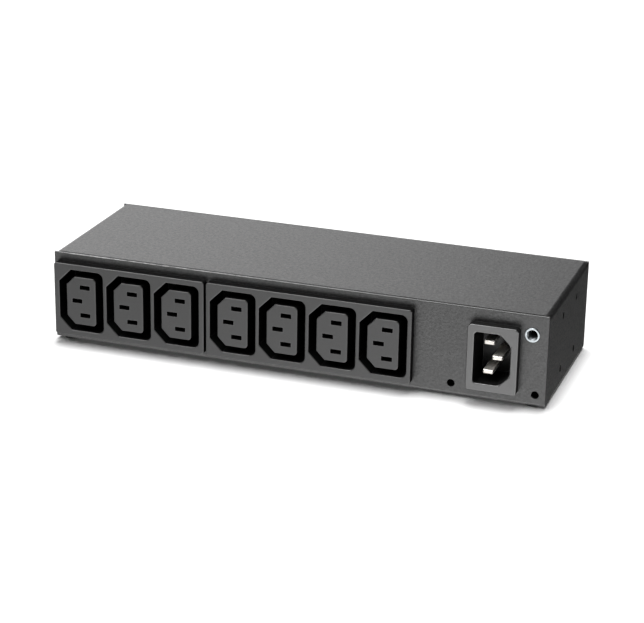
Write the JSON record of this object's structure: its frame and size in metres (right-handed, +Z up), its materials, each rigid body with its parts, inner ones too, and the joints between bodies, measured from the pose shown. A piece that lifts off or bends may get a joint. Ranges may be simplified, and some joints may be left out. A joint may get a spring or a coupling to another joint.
{
  "type": "rack power strip",
  "caption": "Half-rack power strip in a black folded steel case, with C13 outlets in snap-in blocks, a C14 inlet, an earth point and side holes for rack ears.",
  "frame": {"origin": "on the supporting surface, under the centre of the overall box", "axes": "+X along the strip towards the inlet end, -Y out of the sockets, +Z up"},
  "size_m": [0.2404, 0.0854, 0.0444],
  "materials": {
    "case_paint": "fine-textured satin black powder coat",
    "outlet_moulding": "satin black thermoplastic",
    "inlet_moulding": "satin black thermoplastic",
    "blade_plating": "bright nickel plate",
    "contact_brass": "bare stamped brass",
    "tinned_copper": "tin plate",
    "bright_zinc": "bright zinc plate",
    "black_zinc": "black zinc plate",
    "foot_rubber": "matt black",
    "sleeve_nylon": "natural nylon",
    "line_insulation": "brown PVC",
    "neutral_insulation": "blue PVC",
    "earth_insulation": "green and yellow PVC"
  },
  "bodies": {
    "root": {"base_tray": "case_paint", "case_nuts": "bright_zinc", "case_screws": "black_zinc", "earth_bar_3gang": "contact_brass", "earth_bar_4gang": "contact_brass", "earth_insert": "bright_zinc", "earth_nut": "bright_zinc", "earth_stud": "bright_zinc", "earth_washer": "bright_zinc", "foot_front_left": "foot_rubber", "foot_front_right": "foot_rubber", "foot_rear_left": "foot_rubber", "foot_rear_right": "foot_rubber", "inlet_blade_earth": "blade_plating", "inlet_blade_line": "blade_plating", "inlet_blade_neutral": "blade_plating", "inlet_housing": "inlet_moulding", "line_bar_3gang": "contact_brass", "line_bar_4gang": "contact_brass", "neutral_bar_3gang": "contact_brass", "neutral_bar_4gang": "contact_brass", "outlet_back_3gang": "outlet_moulding", "outlet_back_4gang": "outlet_moulding", "outlet_housing_3gang": "outlet_moulding", "outlet_housing_4gang": "outlet_moulding", "receptacles_earth": "sleeve_nylon", "receptacles_line": "sleeve_nylon", "receptacles_neutral": "sleeve_nylon", "ring_terminal_inlet": "tinned_copper", "ring_terminal_outlets": "tinned_copper", "top_cover": "case_paint", "wire_earth_inlet": "earth_insulation", "wire_earth_link": "earth_insulation", "wire_earth_outlets": "earth_insulation", "wire_line_feed": "line_insulation", "wire_line_link": "line_insulation", "wire_neutral_feed": "neutral_insulation", "wire_neutral_link": "neutral_insulation"}
  },
  "joints": []
}
